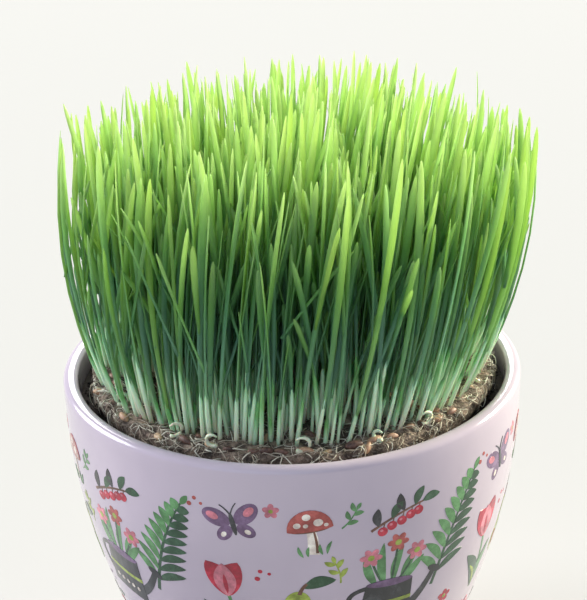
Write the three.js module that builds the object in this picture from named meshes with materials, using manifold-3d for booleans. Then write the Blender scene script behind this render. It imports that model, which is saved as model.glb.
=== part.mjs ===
// Wheatgrass growing in a round glazed pot.
// Millimetres, +Z up. The origin is the middle of the pot's flat foot, and -Y is the front.
import * as THREE from "three";
import { mergeVertices } from "three/addons/utils/BufferGeometryUtils.js";
import Module from "manifold-3d";

const wasm = await Module();
wasm.setup();

// Pot: a straight-sided band under the lip, then a belly that draws in to the foot.
const POT_HEIGHT = 150;
const POT_RADIUS = 89;
const WALL = 5.7;
const FLOOR = 7;
const FLOOR_CORNER = 3;
const BAND_BOTTOM = 137;
const FOOT_DRAW_IN = 38;
const BELLY_POWER = 1.9;
const FOOT_EDGE = 1.8;
const LIP_DEPTH = 3.4;
const LIP_SHOULDER = 1;
const LIP_BULGE = 0.9;
const ROUND_SIDES = 44;
const WALL_HEIGHTS = [16, 34, 54, 76, 98, 120, 136];

// Soil and the mat of roots and seeds on it.
const GAP = 0.3;
const SOIL_TOP = 139.6;
const MAT_TOP = 147.4;
const MAT_RADIUS = 78.5;
const MAT_BACK = 2.4;
const MAT_WAVE = 1.1;
const MAT_SHOULDER = 1.5;

// Rows of shoots: rings, a little flattened from front to back. Each row has a thin crown strip
// that stands in a groove of the mat.
const RINGS = 10;
const FIRST_RING = 8.5;
const LAST_RING = 75;
const RING_FLATTEN = 0.94;
const ROW_LENGTH = 60;
const ROW_END_GAP = 3.4;
const ROW_WANDER = 0.75;
const CHORD_ANGLE = 0.6;
const STRIP_HALF_WIDTH = 1.85;
const STRIP_DEPTH = 4.6;

// Shoots: one leaf each, 3-sided, narrow at the foot and pointed at the tip.
const SHOOT_STEP = 6.3;
const SHOOT_STEP_JITTER = 1.5;
const SHOOT_OFFSET = 0.45;
const SHOOT_SINK = 2.2;
const TALLEST = 117;
const EDGE_SHORTER = 0.13;
const EDGE_POWER = 2.2;
const HEIGHT_SPREAD = 0.15;
const STUNTED_SHARE = 0.07;
const STUNTED_LEAST = 0.4;
const STUNTED_MOST = 0.75;
const STATIONS = [0, 0.4, 0.85, 1];
const WIDTHS = [2, 3.5, 3.1, 0];
const THICKNESSES = [1.5, 1.1, 0.95, 0];
const MOST_TWIST = 0.45;
const LEAN_MEAN = 0.075;
const LEAN_PER_MM = 0.0013;
const LEAN_SPREAD = 0.068;
const BEND_SPREAD = 0.06;
const SPLAY = 0.32;
const SPLAY_FROM = 0.7;
const SPLAY_RECOVERY = 0.85;
const TIP_MIDDLE = new THREE.Vector2(4, 0);
const TIP_REACH = 88;
const STRAY_SHARE = 0.1;
const STRAY_FACTOR = 2;
const TRIES = 16;
const CLEAR_STEP = 5;
const CLEAR_OTHER_ROW = 1.75;
const CLEAR_SAME_ROW = 1;
const NEAR_ENOUGH = 40;

// Seeds: plump grains lying half sunk in the mat.
const GRAINS = 60;
const GRAIN_LENGTH = 6.2;
const GRAIN_WIDTH = 3;
const GRAIN_HEIGHT = 2.8;
const GRAIN_RISE = 0.25;
const GRAIN_CLEAR = 0.4;
const GRAIN_TURN = 0.25;
const GRAIN_TRIES = 12000;

// Colours, seen in window light.
const GLAZE = 0xd8d0dc;
const SOIL = 0x2c2119;
const FELT = 0xb39872;
const LEAF_HUE = 0.255;
const LEAF_HUE_SPREAD = 0.03;
const LEAF_LIGHTNESS = 0.36;
const LEAF_LIGHTNESS_SPREAD = 0.05;

const SEED = 20260;

// A repeatable stream of numbers from 0 to 1.
function randomStream(seed) {
  let state = seed;
  return () => {
    state = (state * 16807) % 2147483647;
    return state / 2147483647;
  };
}

function spread(random, most) {
  return (2 * random() - 1) * most;
}

function plainCopy(geometry) {
  const copy = geometry.clone();
  copy.deleteAttribute("normal");
  copy.deleteAttribute("uv");
  return mergeVertices(copy, 1e-4);
}

function solidOf(geometry) {
  const merged = plainCopy(geometry);
  return new wasm.Manifold(
    new wasm.Mesh({
      numProp: 3,
      vertProperties: new Float32Array(merged.attributes.position.array),
      triVerts: new Uint32Array(merged.index.array),
    }),
  );
}

function geometryOf(solid) {
  const mesh = solid.getMesh();
  const geometry = new THREE.BufferGeometry();
  const positions = new THREE.BufferAttribute(mesh.vertProperties, 3);
  geometry.setAttribute("position", positions);
  geometry.setIndex(new THREE.BufferAttribute(mesh.triVerts, 1));
  geometry.computeVertexNormals();
  return geometry;
}

function piece(name, geometry, colour, roughness) {
  const material = new THREE.MeshStandardMaterial({ color: colour, roughness, metalness: 0 });
  const mesh = new THREE.Mesh(geometry, material);
  mesh.name = name;
  return mesh;
}

// A solid of revolution about Z from [radius, height] pairs that start and end on the axis.
function turned(profile) {
  const points = profile.map(([radius, height]) => new THREE.Vector2(radius, height));
  const geometry = new THREE.LatheGeometry(points, ROUND_SIDES);
  geometry.rotateX(Math.PI / 2);
  return geometry;
}

function outerRadius(height) {
  const below = Math.max(0, (BAND_BOTTOM - height) / BAND_BOTTOM);
  return POT_RADIUS - FOOT_DRAW_IN * below ** BELLY_POWER;
}

function innerRadius(height) {
  return outerRadius(height) - WALL;
}

function potGeometry() {
  const foot = outerRadius(0);
  const outside = WALL_HEIGHTS.map((height) => [outerRadius(height), height]);
  const inside = WALL_HEIGHTS.map((height) => [innerRadius(height), height]).reverse();
  const lipOutside = POT_RADIUS;
  const lipInside = POT_RADIUS - WALL;
  const lipMiddle = (lipOutside + lipInside) / 2;
  return turned([
    [0, 0],
    [foot - FOOT_EDGE, 0],
    [foot, FOOT_EDGE],
    ...outside,
    [lipOutside, POT_HEIGHT - LIP_DEPTH],
    [lipOutside - LIP_BULGE, POT_HEIGHT - LIP_SHOULDER],
    [lipMiddle, POT_HEIGHT],
    [lipInside + LIP_BULGE, POT_HEIGHT - LIP_SHOULDER],
    [lipInside, POT_HEIGHT - LIP_DEPTH],
    ...inside,
    [innerRadius(FLOOR) - FLOOR_CORNER, FLOOR],
    [0, FLOOR],
  ]);
}

function soilGeometry() {
  const bottom = FLOOR + GAP;
  const heights = WALL_HEIGHTS.filter((height) => height > bottom && height < SOIL_TOP);
  return turned([
    [0, bottom],
    [innerRadius(FLOOR) - FLOOR_CORNER - GAP, bottom],
    ...heights.map((height) => [innerRadius(height) - GAP, height]),
    [innerRadius(SOIL_TOP) - GAP, SOIL_TOP],
    [0, SOIL_TOP],
  ]);
}

// Moves an outline in and out with the angle, as torn felt does.
function raggedRadius(angle) {
  const slow = Math.sin(3 * angle + 0.7) + Math.sin(5 * angle + 2.1);
  const quick = Math.sin(11 * angle + 1.3) + Math.sin(17 * angle);
  return 1 + (MAT_WAVE * (0.35 * slow + 0.25 * quick)) / MAT_RADIUS;
}

function matGeometry() {
  const bottom = SOIL_TOP + GAP;
  const middle = (bottom + MAT_TOP) / 2;
  const geometry = turned([
    [0, bottom],
    [MAT_RADIUS - MAT_SHOULDER, bottom],
    [MAT_RADIUS, middle - MAT_SHOULDER],
    [MAT_RADIUS, middle + MAT_SHOULDER],
    [MAT_RADIUS - MAT_SHOULDER, MAT_TOP],
    [0, MAT_TOP],
  ]);
  const positions = geometry.attributes.position;
  for (let i = 0; i < positions.count; i += 1) {
    const x = positions.getX(i);
    const y = positions.getY(i);
    const factor = raggedRadius(Math.atan2(y, x));
    positions.setXY(i, x * factor, y * factor + MAT_BACK);
  }
  return geometry;
}

// The middle line of each row: points along an arc of a ring, wandering a little in and out.
function rowLines(random) {
  const lines = [];
  for (let ring = 0; ring < RINGS; ring += 1) {
    const radius = FIRST_RING + ((LAST_RING - FIRST_RING) * ring) / (RINGS - 1);
    const rows = Math.max(1, Math.round((2 * Math.PI * radius) / ROW_LENGTH));
    const start = random() * 2 * Math.PI;
    const sweep = (2 * Math.PI) / rows - ROW_END_GAP / radius;
    const chords = Math.max(2, Math.ceil(sweep / CHORD_ANGLE));
    for (let row = 0; row < rows; row += 1) {
      const from = start + (row * 2 * Math.PI) / rows;
      const line = [];
      for (let i = 0; i <= chords; i += 1) {
        const angle = from + (sweep * i) / chords;
        const wander = radius + spread(random, ROW_WANDER);
        const x = wander * Math.cos(angle);
        const y = wander * Math.sin(angle) * RING_FLATTEN + MAT_BACK;
        line.push(new THREE.Vector2(x, y));
      }
      lines.push(line);
    }
  }
  return lines;
}

// A strip of even width along a line, longer than it by `beyond` at each end.
function stripShape(line, halfWidth, beyond) {
  const left = [];
  const right = [];
  line.forEach((point, i) => {
    const before = line[Math.max(0, i - 1)];
    const after = line[Math.min(line.length - 1, i + 1)];
    const along = after.clone().sub(before).normalize();
    const across = new THREE.Vector2(-along.y, along.x);
    const arriving = i === 0 ? along : point.clone().sub(before).normalize();
    const mitred = halfWidth / along.dot(arriving);
    const atEnd = i === 0 ? -beyond : i === line.length - 1 ? beyond : 0;
    const centre = point.clone().addScaledVector(along, atEnd);
    left.push(centre.clone().addScaledVector(across, mitred));
    right.unshift(centre.clone().addScaledVector(across, -mitred));
  });
  return new THREE.Shape([...left, ...right]);
}

function stripGeometry(line, halfWidth, beyond, bottom, top) {
  const shape = stripShape(line, halfWidth, beyond);
  const geometry = new THREE.ExtrudeGeometry(shape, { depth: top - bottom, bevelEnabled: false });
  geometry.translate(0, 0, bottom);
  return geometry;
}

// Places along a line, about SHOOT_STEP apart, a little off its middle and clear of its ends.
function footholds(line, random) {
  const places = [];
  const lastPoint = line[line.length - 1];
  let carried = STRIP_HALF_WIDTH;
  for (let i = 0; i + 1 < line.length; i += 1) {
    const along = line[i + 1].clone().sub(line[i]);
    const length = along.length();
    along.divideScalar(length);
    const across = new THREE.Vector2(-along.y, along.x);
    let at = carried;
    while (at < length) {
      const place = line[i].clone().addScaledVector(along, at);
      place.addScaledVector(across, spread(random, SHOOT_OFFSET));
      if (place.distanceTo(lastPoint) > STRIP_HALF_WIDTH) places.push(place);
      at += SHOOT_STEP + spread(random, SHOOT_STEP_JITTER);
    }
    carried = at - length;
  }
  return places;
}

// A shoot's stem line is foot + height * (slope * t + bend * t * t) sideways, with t from 0 to 1.
// Shoots near the edge splay outwards at the foot and straighten up again above it.
function drawShoot(foot, random, wildness) {
  const fromMiddle = new THREE.Vector2(foot.x, foot.y - MAT_BACK);
  const outward = fromMiddle.length() / LAST_RING;
  const edge = Math.min(1, Math.max(0, (outward - SPLAY_FROM) / (1 - SPLAY_FROM)));
  const splay = fromMiddle.normalize().multiplyScalar(SPLAY * edge ** 2);
  const isStunted = random() < STUNTED_SHARE;
  const stunted = isStunted ? STUNTED_LEAST + (STUNTED_MOST - STUNTED_LEAST) * random() : 1;
  const full = TALLEST * (1 - EDGE_SHORTER * outward ** EDGE_POWER);
  const stray = random() < STRAY_SHARE ? STRAY_FACTOR : 1;
  const lean = LEAN_SPREAD * stray * wildness;
  const bend = BEND_SPREAD * wildness;
  return {
    foot,
    height: full * stunted * (1 - HEIGHT_SPREAD * random()),
    slope: new THREE.Vector2(
      splay.x + LEAN_MEAN + LEAN_PER_MM * foot.x + spread(random, lean),
      splay.y + spread(random, lean),
    ),
    bend: new THREE.Vector2(
      spread(random, bend) - SPLAY_RECOVERY * splay.x,
      spread(random, bend) - SPLAY_RECOVERY * splay.y,
    ),
    yaw: random() * Math.PI,
    twist: spread(random, MOST_TWIST),
  };
}

function between(values, t) {
  let i = 1;
  while (i < STATIONS.length - 1 && STATIONS[i] < t) i += 1;
  const share = (t - STATIONS[i - 1]) / (STATIONS[i] - STATIONS[i - 1]);
  return values[i - 1] + (values[i] - values[i - 1]) * share;
}

function stemAt(shoot, t) {
  return new THREE.Vector2(
    shoot.foot.x + shoot.height * (shoot.slope.x * t + shoot.bend.x * t * t),
    shoot.foot.y + shoot.height * (shoot.slope.y * t + shoot.bend.y * t * t),
  );
}

function leafEdges(shoot, above) {
  const t = above / shoot.height;
  const middle = stemAt(shoot, t);
  const yaw = shoot.yaw + shoot.twist * t;
  const half = between(WIDTHS, t) / 2;
  const side = new THREE.Vector2(Math.cos(yaw) * half, Math.sin(yaw) * half);
  return [middle.clone().add(side), middle.clone().sub(side)];
}

function pointToSegment(point, [a, b]) {
  const ab = b.clone().sub(a);
  const lengthSquared = Math.max(ab.lengthSq(), 1e-9);
  const share = Math.min(1, Math.max(0, point.clone().sub(a).dot(ab) / lengthSquared));
  return point.distanceTo(a.clone().addScaledVector(ab, share));
}

function side(a, b, point) {
  return (b.x - a.x) * (point.y - a.y) - (b.y - a.y) * (point.x - a.x);
}

function segmentGap(one, other) {
  const crossing =
    side(one[0], one[1], other[0]) * side(one[0], one[1], other[1]) < 0 &&
    side(other[0], other[1], one[0]) * side(other[0], other[1], one[1]) < 0;
  if (crossing) return 0;
  return Math.min(
    pointToSegment(one[0], other),
    pointToSegment(one[1], other),
    pointToSegment(other[0], one),
    pointToSegment(other[1], one),
  );
}

// Whether two leaves keep the wanted distance at every height that both reach.
function clearOf(one, other, wanted) {
  if (one.foot.distanceTo(other.foot) > NEAR_ENOUGH) return true;
  const reach = Math.min(one.height, other.height);
  for (let above = 0; above <= reach; above += CLEAR_STEP) {
    if (segmentGap(leafEdges(one, above), leafEdges(other, above)) < wanted) return false;
  }
  return true;
}

// Redraws a shoot until it clears the ones already standing, calmer each time, or gives none.
function growShoot(foot, row, standing, random) {
  for (let attempt = 0; attempt < TRIES; attempt += 1) {
    const wildness = 1 - attempt / TRIES;
    const shoot = drawShoot(foot, random, wildness);
    shoot.row = row;
    const inReach = stemAt(shoot, 1).distanceTo(TIP_MIDDLE) < TIP_REACH;
    const fits = standing.every((other) =>
      clearOf(shoot, other, other.row === row ? CLEAR_SAME_ROW : CLEAR_OTHER_ROW),
    );
    if (inReach && fits) return shoot;
  }
  return null;
}

function growAll(lines, random) {
  const standing = [];
  lines.forEach((line, row) => {
    footholds(line, random).forEach((foot) => {
      const shoot = growShoot(foot, row, standing, random);
      if (shoot) standing.push(shoot);
    });
  });
  return standing;
}

// A 3-sided cone bent into a leaf: two corners become its edges and the third its back.
function leafGeometry(shoot) {
  const segments = STATIONS.length - 1;
  const geometry = new THREE.ConeGeometry(1, 1, 3, segments);
  const positions = geometry.attributes.position;
  for (let i = 0; i < positions.count; i += 1) {
    const station = Math.round((positions.getY(i) + 0.5) * segments);
    const t = STATIONS[station];
    const angle = Math.atan2(positions.getX(i), positions.getZ(i));
    const atAxis = Math.hypot(positions.getX(i), positions.getZ(i)) < 1e-6;
    const across = atAxis ? 0 : (Math.sin(angle) / Math.sin(Math.PI / 3)) * (WIDTHS[station] / 2);
    const back = atAxis ? 0 : ((2 * Math.cos(angle) - 0.5) / 3) * THICKNESSES[station];
    const yaw = shoot.yaw + shoot.twist * t;
    const sunk = station === 0 ? SHOOT_SINK : 0;
    const middle = stemAt(shoot, t - sunk / 2 / shoot.height);
    positions.setXYZ(
      i,
      middle.x + across * Math.cos(yaw) + back * Math.sin(yaw),
      middle.y + across * Math.sin(yaw) - back * Math.cos(yaw),
      MAT_TOP + shoot.height * t - sunk,
    );
  }
  return geometry;
}

function rowSolid(line, shoots) {
  const bottom = MAT_TOP - STRIP_DEPTH;
  let solid = solidOf(stripGeometry(line, STRIP_HALF_WIDTH, 0, bottom, MAT_TOP));
  shoots.forEach((shoot) => {
    solid = solid.add(solidOf(leafGeometry(shoot)));
  });
  return solid;
}

function distanceToLine(point, line) {
  let nearest = Infinity;
  for (let i = 0; i + 1 < line.length; i += 1) {
    nearest = Math.min(nearest, pointToSegment(point, [line[i], line[i + 1]]));
  }
  return nearest;
}

// Grains between the rows, lying along them, clear of each other and of every strip.
function layGrains(lines, random) {
  const grains = [];
  const needed = STRIP_HALF_WIDTH + GRAIN_WIDTH / 2 + GRAIN_CLEAR;
  for (let attempt = 0; attempt < GRAIN_TRIES && grains.length < GRAINS; attempt += 1) {
    const radius = Math.sqrt(random()) * (MAT_RADIUS - MAT_SHOULDER - GRAIN_WIDTH / 2);
    const angle = random() * 2 * Math.PI;
    const turn = angle + Math.PI / 2 + spread(random, GRAIN_TURN);
    const middle = new THREE.Vector2(radius * Math.cos(angle), radius * Math.sin(angle) + MAT_BACK);
    const reach = new THREE.Vector2(Math.cos(turn), Math.sin(turn)).multiplyScalar(GRAIN_LENGTH / 3);
    const ends = [middle, middle.clone().add(reach), middle.clone().sub(reach)];
    const free = lines.every((line) => ends.every((end) => distanceToLine(end, line) > needed));
    const apart = grains.every((grain) => grain.middle.distanceTo(middle) > GRAIN_LENGTH);
    if (free && apart) grains.push({ middle, turn });
  }
  return grains;
}

function grainGeometry(grain) {
  const geometry = new THREE.SphereGeometry(0.5, 5, 3);
  geometry.rotateZ(Math.PI / 2);
  geometry.scale(GRAIN_LENGTH, GRAIN_WIDTH, GRAIN_HEIGHT);
  geometry.rotateZ(grain.turn);
  geometry.translate(grain.middle.x, grain.middle.y, MAT_TOP + GRAIN_RISE);
  return geometry;
}

function matSolid(lines, grains) {
  let solid = solidOf(matGeometry());
  const bottom = MAT_TOP - STRIP_DEPTH - GAP;
  lines.forEach((line) => {
    const groove = stripGeometry(line, STRIP_HALF_WIDTH + GAP, GAP, bottom, MAT_TOP + 1);
    solid = solid.subtract(solidOf(groove));
  });
  grains.forEach((grain) => {
    solid = solid.add(solidOf(grainGeometry(grain)));
  });
  return solid;
}

function leafColour(random) {
  const hue = LEAF_HUE + spread(random, LEAF_HUE_SPREAD);
  const lightness = LEAF_LIGHTNESS + spread(random, LEAF_LIGHTNESS_SPREAD);
  return new THREE.Color().setHSL(hue, 0.6, lightness);
}

const random = randomStream(SEED);
const lines = rowLines(random);
const shoots = growAll(lines, random);
const grains = layGrains(lines, random);

const wheatgrassPot = new THREE.Group();
wheatgrassPot.name = "wheatgrass_pot";
wheatgrassPot.add(piece("pot", potGeometry(), GLAZE, 0.2));
wheatgrassPot.add(piece("soil", soilGeometry(), SOIL, 0.95));
wheatgrassPot.add(piece("seed_mat", geometryOf(matSolid(lines, grains)), FELT, 0.85));
lines.forEach((line, row) => {
  const own = shoots.filter((shoot) => shoot.row === row);
  const name = `shoots_${String(row + 1).padStart(2, "0")}`;
  const solid = rowSolid(line, own);
  wheatgrassPot.add(piece(name, geometryOf(solid), leafColour(random), 0.5));
});

export default wheatgrassPot;
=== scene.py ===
import math

import bpy
import numpy as np
from mathutils import Matrix, Vector, noise


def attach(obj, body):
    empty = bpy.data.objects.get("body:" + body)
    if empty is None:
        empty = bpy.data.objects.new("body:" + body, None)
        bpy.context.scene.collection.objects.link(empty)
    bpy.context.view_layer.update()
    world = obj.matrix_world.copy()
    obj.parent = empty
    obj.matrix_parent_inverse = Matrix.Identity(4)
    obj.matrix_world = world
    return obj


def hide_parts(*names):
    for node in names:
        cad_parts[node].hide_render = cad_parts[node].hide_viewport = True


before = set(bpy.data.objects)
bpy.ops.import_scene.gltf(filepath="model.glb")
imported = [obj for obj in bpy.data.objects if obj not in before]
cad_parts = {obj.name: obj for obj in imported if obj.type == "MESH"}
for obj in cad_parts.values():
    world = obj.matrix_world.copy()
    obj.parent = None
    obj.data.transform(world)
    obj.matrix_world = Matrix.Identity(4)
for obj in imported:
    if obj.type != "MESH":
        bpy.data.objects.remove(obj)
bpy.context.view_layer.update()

MM = 0.001
TURN = 2 * math.pi

# The pot's own sizes, as on the solid.
POT_HEIGHT = 150
POT_RADIUS = 89
WALL = 5.7
FLOOR = 7
LIP_RISE = 2.2
LIP_STEPS = 12
LIP_BOTTOM = 144
BAND_BOTTOM = 137
FOOT_DRAW_IN = 38
BELLY_POWER = 1.9
INSIDE_BOTTOM = 14
INNERMOST_RING = 20
POT_SIDES = 160

# Soil and mat.
SOIL_TOP = 139.6
MAT_TOP = 147.4
MAT_RADIUS = 78.5
MAT_BACK = 2.4
MAT_WAVE = 1.1

# Rows of shoots, as on the solids.
RINGS = 10
FIRST_RING = 8.5
LAST_RING = 75
RING_FLATTEN = 0.94
ROW_LENGTH = 60
ROW_END_GAP = 3.4
ROW_WANDER = 0.75
CHORD_ANGLE = 0.6
STRIP_HALF_WIDTH = 1.85
SHOOT_STEP = 6.3
SHOOT_STEP_JITTER = 1.5
SHOOT_OFFSET = 0.45
TALLEST = 117
EDGE_SHORTER = 0.13
EDGE_POWER = 2.2
HEIGHT_SPREAD = 0.15
STUNTED_SHARE = 0.07
STUNTED_LEAST = 0.4
STUNTED_MOST = 0.75
STATIONS = [0, 0.4, 0.85, 1]
WIDTHS = [2, 3.5, 3.1, 0]
MOST_TWIST = 0.45
LEAN_MEAN = 0.075
LEAN_PER_MM = 0.0013
LEAN_SPREAD = 0.068
BEND_SPREAD = 0.06
SPLAY = 0.32
SPLAY_FROM = 0.7
SPLAY_RECOVERY = 0.85
TIP_MIDDLE = (4, 0)
TIP_REACH = 88
STRAY_SHARE = 0.1
STRAY_FACTOR = 2
TRIES = 16
CLEAR_STEP = 5
CLEAR_OTHER_ROW = 1.75
CLEAR_SAME_ROW = 1
NEAR_ENOUGH = 40
GRAINS = 60
GRAIN_LENGTH = 6.2
GRAIN_WIDTH = 3
GRAIN_HEIGHT = 2.8
GRAIN_CLEAR = 0.4
GRAIN_TURN = 0.25
GRAIN_TRIES = 12000
SEED = 20260

# The camera: it stands in front of the pot, above the rim, and is rolled a little.
CAMERA_DISTANCE = 500
CAMERA_ELEVATION = math.radians(25.32)
CAMERA_ROLL = math.radians(-1.66)
PICTURE_WIDTH = 587
PICTURE_HEIGHT = 600
RIM_X_PX = 289.9
RIM_Y_PX = 354.2
FOCAL_PX = 1268
SENSOR = 36


# Small helpers

def random_stream(seed):
    """The repeatable numbers from 0 to 1 that place the shoots of the solids too."""
    state = seed

    def draw():
        nonlocal state
        state = state * 16807 % 2147483647
        return state / 2147483647

    return draw


def spread(draw, most):
    """A random number up to a value either way."""
    return (2 * draw() - 1) * most


def between(draw, least, most):
    return least + (most - least) * draw()


def way(turn):
    """One step in a direction on the ground."""
    return np.array((math.cos(turn), math.sin(turn)))


def one_long(vectors):
    """The vectors, each made one unit long."""
    return vectors / np.linalg.norm(vectors, axis=1)[:, None]


def deselect():
    for thing in list(bpy.context.selected_objects):
        thing.select_set(False)


def make_active(thing):
    deselect()
    thing.select_set(True)
    bpy.context.view_layer.objects.active = thing


def named(name):
    """Names the object that an operator has just added, and its mesh."""
    thing = bpy.context.active_object
    thing.name = name
    thing.data.name = name
    return thing


def settle(thing):
    """Puts an object's place, turn and size into its mesh."""
    make_active(thing)
    bpy.ops.object.transform_apply(location=True, rotation=True, scale=True)


def points_of(mesh):
    flat = np.empty(len(mesh.vertices) * 3)
    mesh.vertices.foreach_get("co", flat)
    return flat.reshape(-1, 3)


def move_points(mesh, points):
    mesh.vertices.foreach_set("co", np.ascontiguousarray(points, dtype=float).ravel())
    mesh.update()


def copy_with(pattern, points, mark, value):
    """A copy of a pattern with its own mesh and points, and one number that all its points carry."""
    mesh = pattern.data.copy()
    thing = bpy.data.objects.new(pattern.name, mesh)
    bpy.context.collection.objects.link(thing)
    move_points(mesh, points)
    marks = mesh.attributes.new(mark, "FLOAT", "POINT")
    marks.data.foreach_set("value", np.full(len(points), float(value)))
    return thing


def joined(name, things):
    """Joins the objects into one, named and at the origin."""
    make_active(things[0])
    for thing in things:
        thing.select_set(True)
    bpy.ops.object.join()
    return named(name)


def finished(thing, material, slot, *nodes):
    """Gives a piece its material, the body it rides on and the nodes it stands for; the slot is not used."""
    if material is not None:
        thing.data.materials.clear()
        thing.data.materials.append(material)
    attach(thing, "root")
    if nodes:
        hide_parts(*nodes)
    return thing


# Materials

CLEAR_COAT = {"Coat Weight": 0.3, "Coat Roughness": 0.12}


class Nodes:
    """A material's node tree, with short ways to add and set its nodes."""

    def __init__(self, name):
        self.material = bpy.data.materials.new(name)
        self.material.use_nodes = True
        self.tree = self.material.node_tree
        self.shader = self.tree.nodes["Principled BSDF"]
        self.output = self.tree.nodes["Material Output"]

    def set(self, node, inputs):
        """Gives each input, by its name or number, a number, a colour or another node's output."""
        for key, value in inputs.items():
            if isinstance(value, bpy.types.NodeSocket):
                self.tree.links.new(value, node.inputs[key])
            elif isinstance(value, tuple):
                node.inputs[key].default_value = (*value, 1)
            else:
                node.inputs[key].default_value = value

    def add(self, kind, inputs=None, **settings):
        node = self.tree.nodes.new("ShaderNode" + kind)
        for key, value in settings.items():
            setattr(node, key, value)
        self.set(node, inputs or {})
        return node

    def object_place(self):
        return self.add("TexCoord").outputs["Object"]

    def tone(self):
        """The tone from 0 to 1 that each copied leaf, grain or root carries."""
        return self.add("Attribute", attribute_name="tone").outputs["Fac"]

    def along(self):
        """The UV map of a leaf or sheath, and its v, which is the height."""
        uv = self.add("UVMap", uv_map="along").outputs["UV"]
        return uv, self.add("SeparateXYZ", {0: uv}).outputs[1]

    def noise(self, place, scale, detail=3, roughness=0.5):
        inputs = {"Vector": place, "Scale": scale, "Detail": detail, "Roughness": roughness}
        return self.add("TexNoise", inputs).outputs["Fac"]

    def ramp(self, factor, stops):
        node = self.add("ValToRGB", {"Fac": factor})
        elements = node.color_ramp.elements
        elements.remove(elements[1])
        elements[0].position = stops[0][0]
        elements[0].color = (*stops[0][1], 1)
        for place, colour in stops[1:]:
            elements.new(place).color = (*colour, 1)
        return node.outputs["Color"]

    def mix(self, factor, first, second):
        """Mixes colours; the node's inputs share their names, so they go by number."""
        return self.add("Mix", {0: factor, 6: first, 7: second}, data_type="RGBA").outputs[2]

    def math(self, operation, first, second, clamp=False):
        node = self.add("Math", {0: first, 1: second}, operation=operation, use_clamp=clamp)
        return node.outputs[0]

    def range(self, value, low, high, to_low, to_high):
        inputs = {"Value": value, "From Min": low, "From Max": high, "To Min": to_low, "To Max": to_high}
        return self.add("MapRange", inputs).outputs["Result"]

    def bump(self, height, strength, distance):
        node = self.add("Bump", {"Height": height, "Strength": strength, "Distance": distance})
        self.set(self.shader, {"Normal": node.outputs["Normal"]})


def glaze_material():
    nodes = Nodes("lilac_glaze")
    place = nodes.object_place()
    colour = nodes.ramp(nodes.noise(place, 14, 4), [(0.35, (0.46, 0.39, 0.47)), (0.65, (0.54, 0.46, 0.54))])
    polish = nodes.range(nodes.noise(place, 60), 0.3, 0.7, 0.1, 0.2)
    nodes.set(nodes.shader, {"Base Color": colour, "Roughness": polish, **CLEAR_COAT})
    nodes.bump(nodes.noise(place, 35, 2), 0.06, 0.002)
    return nodes.material


def ink_material(name, colour):
    nodes = Nodes("print_" + name)
    wash = nodes.noise(nodes.object_place(), 150, 6, 0.72)
    darker = tuple(c * 0.6 for c in colour)
    lighter = tuple(min(1, c * 1.5 + 0.03) for c in colour)
    washed = nodes.ramp(wash, [(0.35, darker), (0.5, colour), (0.66, lighter)])
    nodes.set(nodes.shader, {"Base Color": washed, "Roughness": 0.16, **CLEAR_COAT})
    return nodes.material


def soil_material():
    nodes = Nodes("damp_soil")
    crumbs = nodes.noise(nodes.object_place(), 700, 5, 0.7)
    colour = nodes.ramp(crumbs, [
        (0.3, (0.008, 0.006, 0.005)),
        (0.6, (0.03, 0.02, 0.014)),
        (0.8, (0.08, 0.055, 0.035)),
    ])
    nodes.set(nodes.shader, {"Base Color": colour, "Roughness": 0.95})
    nodes.bump(crumbs, 0.9, 0.002)
    return nodes.material


def felt_material():
    nodes = Nodes("root_felt")
    place = nodes.object_place()
    lumps = nodes.noise(place, 160, 6, 0.65)
    threads = nodes.noise(place, 1100, 3, 0.6)
    base = nodes.ramp(lumps, [
        (0.3, (0.014, 0.011, 0.010)),
        (0.46, (0.105, 0.075, 0.058)),
        (0.66, (0.48, 0.355, 0.275)),
    ])
    colour = nodes.mix(nodes.range(threads, 0.5, 0.8, 0, 0.5), base, (0.58, 0.50, 0.40))
    nodes.set(nodes.shader, {"Base Color": colour, "Roughness": 0.85})
    nodes.bump(nodes.math("ADD", lumps, threads), 0.8, 0.0015)
    return nodes.material


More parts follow.
